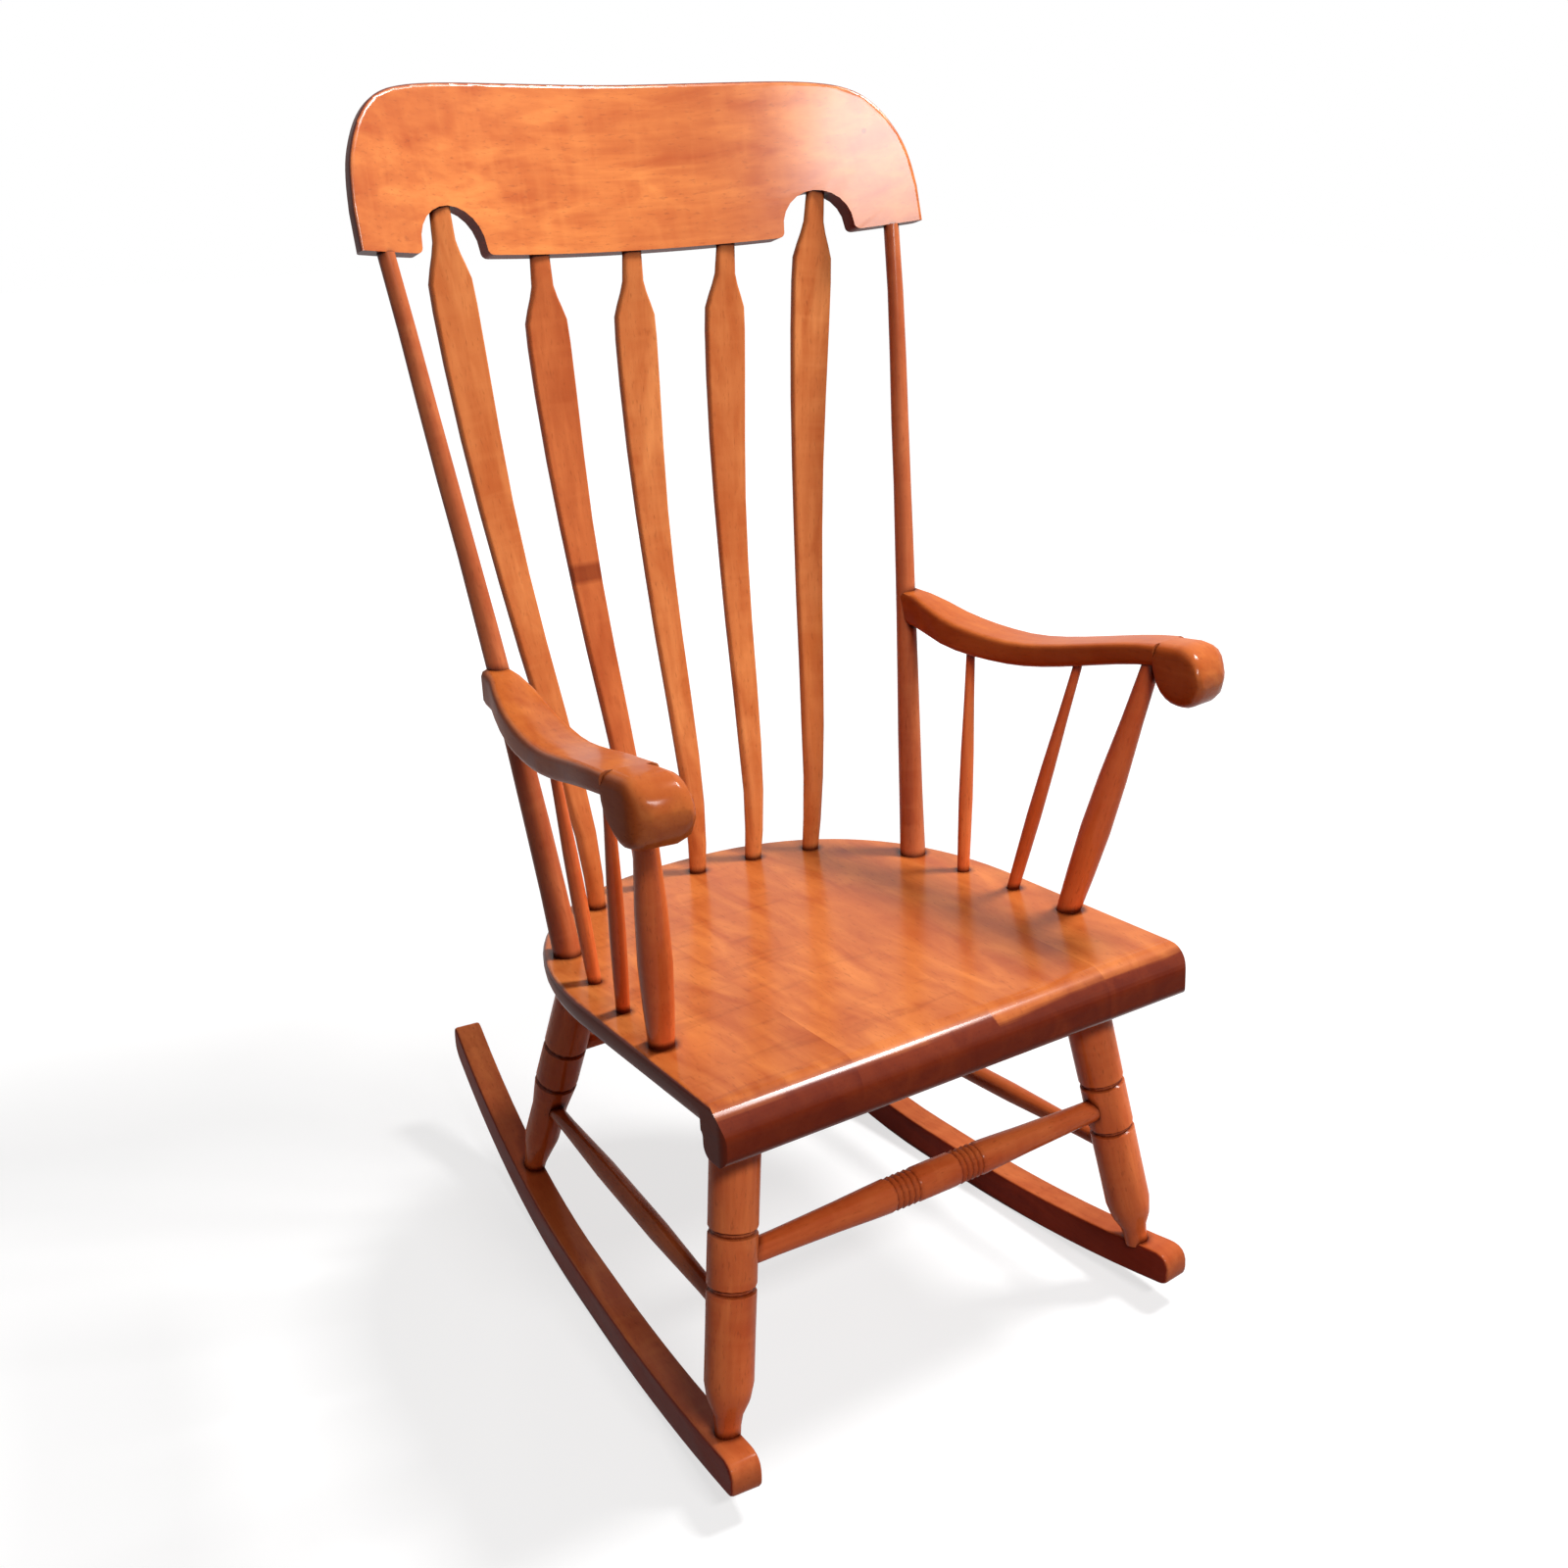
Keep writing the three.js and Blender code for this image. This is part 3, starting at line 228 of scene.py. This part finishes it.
def part_of(tree, vector, axis):
    """One of the three numbers of a vector."""
    return add(tree, "ShaderNodeSeparateXYZ", Vector=vector).outputs[axis]


def grain_axes(points):
    """The rotation that turns a piece's length onto X, and its width onto Y."""
    centred = points - points.mean(0)
    step = max(1, len(centred) // AXIS_POINTS)
    _, _, axes = np.linalg.svd(centred[::step], full_matrices=False)
    if np.linalg.det(axes) < 0:
        axes[2] = -axes[2]
    return Matrix(axes.tolist())


def noise_field(tree, place, scale, detail, distortion):
    """A noise stretched by a scale for each axis."""
    stretched = add(tree, "ShaderNodeMapping", Vector=place, Scale=scale)
    noise = add(
        tree, "ShaderNodeTexNoise",
        Vector=stretched.outputs["Vector"], Scale=1, Detail=detail, Distortion=distortion,
    )
    return noise.outputs["Fac"]


def board_steps(tree, place, boards):
    """One flat colour for each board glued side by side across X."""
    ramp = tree.nodes.new("ShaderNodeValToRGB")
    ramp.color_ramp.interpolation = "CONSTANT"
    across = ranged(tree, part_of(tree, place, "X"), -BOARD_REACH, BOARD_REACH, 0, 1)
    tree.links.new(across, ramp.inputs["Fac"])
    stops = ramp.color_ramp.elements
    for number, (edge, shade) in enumerate(boards):
        spot = (edge + BOARD_REACH) / (2 * BOARD_REACH)
        stop = stops[number] if number < 2 else stops.new(spot)
        stop.position = spot
        stop.color = (*shade, 1)
    return ramp.outputs["Color"]


def edge_of(tree, place, level, wander, stain_and_shade, boards):
    """1 on the darker edges of a piece, stained and with painted shade, and 0 on its faces."""
    shift = ranged(tree, wander, *NOISE_SPAN, -EDGE_WANDER, EDGE_WANDER)
    if boards:
        across = part_of(tree, place, "X")
        for start, end, rise in SEAT_EDGE_WEAR:
            shift = computed(tree, "ADD", shift, ranged(tree, across, start, end, 0, rise))
    return ranged(tree, computed(tree, "ADD", level, shift), *stain_and_shade, 1, 0)


def spot_of(tree, place, centre, radius):
    """1 inside a small round mark."""
    away = worked(tree, "ShaderNodeVectorMath", "DISTANCE", place, centre).outputs["Value"]
    near, far = (radius * share for share in SPOT_EDGE)
    return ranged(tree, away, near, far, 1, 0)


def band_of(tree, place, low, high):
    """1 between two heights."""
    middle, reach = (low + high) / 2, (high - low) / 2
    away = computed(tree, "SUBTRACT", part_of(tree, place, "Z"), middle)
    near, far = (reach * share for share in BAND_EDGE)
    return ranged(tree, computed(tree, "ABSOLUTE", away), near, far, 1, 0)


def wood(name, tone, rotation, offset, lacquer, layers, boards, stain_and_shade, band, spot):
    """Stained wood: clouds, grain streaks, figure, flecks and patches under a clear lacquer."""
    material = bpy.data.materials.new(name)
    material.use_nodes = True
    tree = material.node_tree
    shader = tree.nodes["Principled BSDF"]
    middle, dark, light = (screen(colour) for colour in TONES[tone])
    coat, gloss = lacquer
    coordinates = tree.nodes.new("ShaderNodeTexCoord")
    place = coordinates.outputs["Object"]
    turned = add(
        tree, "ShaderNodeMapping", Vector=place, Rotation=rotation.to_euler(), Location=offset
    )
    along = turned.outputs["Vector"]
    if boards:
        steps = board_steps(tree, place, boards)
        shifted = worked(
            tree, "ShaderNodeVectorMath", "MULTIPLY_ADD", steps, BOARD_SHIFT, along
        )
        along = shifted.outputs["Vector"]

    fields = {layer: noise_field(tree, along, *row[:3]) for layer, row in layers.items()}
    shares = {layer: ranged(tree, fields[layer], *row[3]) for layer, row in layers.items()}
    base = mixed(tree, shares["clouds"], dark, light)
    base = mixed(tree, MIDDLE_SHARE, base, middle)
    colours = {"streaks": dark, "curl": light, "flecks": screen(FLECK), "patches": dark}
    for layer, colour in colours.items():
        base = mixed(tree, shares[layer], base, colour)
    if boards:
        base = mixed(tree, 1.0, base, steps, "MULTIPLY")
    # Stain and painted shade on the sides and edges, by the direction of the normal
    if stain_and_shade:
        axis, darkening_from, darkening_to, shade, lacquer_span = stain_and_shade
        level = computed(tree, "ABSOLUTE", part_of(tree, coordinates.outputs["Normal"], axis))
        edge = edge_of(tree, place, level, fields["curl"], (darkening_from, darkening_to), boards)
        base = shaded(tree, edge, base, shade)
    # Painted shade in grooves and where pieces meet, from ambient occlusion
    hollow = add(tree, "ShaderNodeAmbientOcclusion", Distance=GROOVE_REACH)
    hollow.samples = GROOVE_SAMPLES
    groove = ranged(tree, hollow.outputs["AO"], *GROOVE_SPAN, 1, 0)
    base = shaded(tree, groove, base, GROOVE_PAINTED_SHADE)
    if spot:
        centre, radius, shade = spot
        base = shaded(tree, spot_of(tree, place, centre, radius), base, shade)
    if band:
        low, high, shade = band
        base = shaded(tree, band_of(tree, place, low, high), base, shade)

    height = mixed(tree, BUMP_FLECKS, fields["streaks"], fields["flecks"])
    bump = add(
        tree, "ShaderNodeBump", Height=height, Strength=BUMP_STRENGTH, Distance=BUMP_DEPTH
    )
    smoothest, roughest = (gloss + extra for extra in WOOD_ROUGHER)
    rough = ranged(tree, fields["clouds"], *NOISE_SPAN, smoothest, roughest)
    tree.links.new(base, shader.inputs["Base Color"])
    tree.links.new(rough, shader.inputs["Roughness"])
    tree.links.new(bump.outputs["Normal"], shader.inputs["Normal"])
    shader.inputs["IOR"].default_value = WOOD_IOR
    shader.inputs["Specular Tint"].default_value = (*PORE_TINT, 1)
    shader.inputs["Coat Weight"].default_value = coat
    shader.inputs["Coat Roughness"].default_value = gloss
    shader.inputs["Coat IOR"].default_value = LACQUER_IOR
    if stain_and_shade:
        thinned = ranged(tree, level, *lacquer_span, coat * EDGE_COAT, coat)
        tree.links.new(thinned, shader.inputs["Coat Weight"])
    return material


def brass(name):
    """Satin brass with a fine brushed grain."""
    material = bpy.data.materials.new(name)
    material.use_nodes = True
    tree = material.node_tree
    shader = tree.nodes["Principled BSDF"]
    place = tree.nodes.new("ShaderNodeTexCoord").outputs["Object"]
    grain = add(tree, "ShaderNodeTexNoise", Vector=place, Scale=BRASS_GRAIN).outputs["Fac"]
    dark, light = (screen(colour) for colour in BRASS)
    tint = mixed(tree, ranged(tree, grain, *NOISE_SPAN, 0, 1), dark, light)
    rough = ranged(tree, grain, *NOISE_SPAN, *BRASS_ROUGHNESS)
    tree.links.new(tint, shader.inputs["Base Color"])
    tree.links.new(rough, shader.inputs["Roughness"])
    shader.inputs["Metallic"].default_value = 1.0
    return material


def tone_of(name):
    """The tone of a piece: the first name in the list with which its own name starts."""
    return next((tone for start, tone in TONE_NAMES.items() if name.startswith(start)), "base")


def smooth(piece):
    """Smooth shading over the facets, with the real edges kept sharp."""
    for polygon in piece.data.polygons:
        polygon.use_smooth = True
    weld = piece.modifiers.new("weld", "WELD")
    weld.merge_threshold = WELD_REACH
    edges = piece.modifiers.new("edges", "EDGE_SPLIT")
    edges.split_angle = SMOOTH_ANGLE
    edges.use_edge_sharp = False
    normals = piece.modifiers.new("normals", "WEIGHTED_NORMAL")
    normals.keep_sharp = False
    normals.weight = NORMAL_WEIGHT


for number, (name, piece) in enumerate(sorted(nodes.items())):
    if name.startswith("arm_screw"):
        material = brass(f"finish_{name}")
    else:
        points = np.array([vertex.co for vertex in piece.data.vertices], float)
        is_seat = name == "seat"
        material = wood(
            f"finish_{name}",
            tone_of(name),
            rotation=SEAT_GRAIN if is_seat else grain_axes(points),
            offset=GRAIN_STEP * number,
            lacquer=LACQUER.get(name, PLAIN_LACQUER),
            layers=SEAT_LAYERS if is_seat else LAYERS,
            boards=SEAT_BOARDS if is_seat else (),
            stain_and_shade=STAIN_AND_PAINTED_SHADE.get(name),
            band=BANDS.get(name),
            spot=SPOTS.get(name),
        )
    piece.data.materials.clear()
    piece.data.materials.append(material)
    smooth(piece)


def seen_directly(tree):
    """1 for rays from the camera, from mirrors and through glass, 0 for the rest."""
    rays = tree.nodes.new("ShaderNodeLightPath").outputs
    mirrored = computed(tree, "MAXIMUM", rays["Is Camera Ray"], rays["Is Glossy Ray"])
    return computed(tree, "MAXIMUM", mirrored, rays["Is Transmission Ray"])


def mix_shaders(tree, factor, first, second):
    """One shader where the factor is 0, and another where it is 1."""
    both = tree.nodes.new("ShaderNodeMixShader")
    for socket, value in zip(both.inputs, (factor, first, second)):
        tree.links.new(value, socket)
    return both.outputs[0]


# Floor: near the chair it keeps the shadow, and further out it fades to the backdrop's white
signs = ((-1, -1), (1, -1), (1, 1), (-1, 1))
corners = [(x * FLOOR_REACH, y * FLOOR_REACH, 0) for x, y in signs]
floor_mesh = bpy.data.meshes.new("floor")
floor_mesh.from_pydata(corners, [], [(0, 1, 2, 3)])
floor = bpy.data.objects.new("floor", floor_mesh)
scene.collection.objects.link(floor)
pale = bpy.data.materials.new("pale_floor")
pale.use_nodes = True
tree = pale.node_tree
tree.nodes.clear()
place = tree.nodes.new("ShaderNodeTexCoord").outputs["Object"]
distance = worked(tree, "ShaderNodeVectorMath", "LENGTH", place).outputs["Value"]
glow = ranged(tree, distance, *FLOOR_FADE, *FLOOR_GLOW)
white = add(tree, "ShaderNodeEmission", Color=WHITE, Strength=glow)
matt = add(tree, "ShaderNodeBsdfDiffuse", Color=FLOOR_MATT)
shown = tree.nodes.new("ShaderNodeAddShader")
tree.links.new(white.outputs[0], shown.inputs[0])
tree.links.new(matt.outputs[0], shown.inputs[1])
dull = add(tree, "ShaderNodeBsdfDiffuse", Color=DIM_FLOOR)
output = tree.nodes.new("ShaderNodeOutputMaterial")
surface = mix_shaders(tree, seen_directly(tree), dull.outputs[0], shown.outputs[0])
tree.links.new(surface, output.inputs["Surface"])
floor_mesh.materials.append(pale)

# Backdrop: white where it is seen, dim where it lights the chair
world = bpy.data.worlds.new("studio")
scene.world = world
world.use_nodes = True
tree = world.node_tree
tree.nodes.clear()
dim = add(tree, "ShaderNodeBackground", Color=DIM_ROOM, Strength=DIM_STRENGTH)
bright = add(tree, "ShaderNodeBackground", Color=WHITE, Strength=1.0)
output = tree.nodes.new("ShaderNodeOutputWorld")
surface = mix_shaders(tree, seen_directly(tree), dim.outputs[0], bright.outputs[0])
tree.links.new(surface, output.inputs["Surface"])


def lamp(name, place, target, size, power, in_reflections):
    """A soft lamp, a rectangle that looks at a point."""
    light = bpy.data.lights.new(name, "AREA")
    light.shape = "RECTANGLE"
    light.size, light.size_y = size
    light.energy = power
    holder = bpy.data.objects.new(name, light)
    scene.collection.objects.link(holder)
    holder.location = place
    holder.rotation_mode = "QUATERNION"
    holder.rotation_quaternion = (Vector(target) - Vector(place)).to_track_quat("-Z", "Y")
    holder.visible_camera = False
    holder.visible_glossy = in_reflections


for name, row in LAMPS.items():
    lamp(name, *row)

camera_data = bpy.data.cameras.new("camera")
camera = bpy.data.objects.new("camera", camera_data)
scene.collection.objects.link(camera)
scene.camera = camera
camera_data.sensor_width = SENSOR
camera_data.lens = LENS
camera.rotation_mode = "QUATERNION"
camera.location = CAMERA_PLACE
axes = Matrix((CAMERA_RIGHT, CAMERA_UP, CAMERA_BACK))
camera.rotation_quaternion = axes.transposed().to_quaternion()

scene.view_settings.view_transform = "Standard"
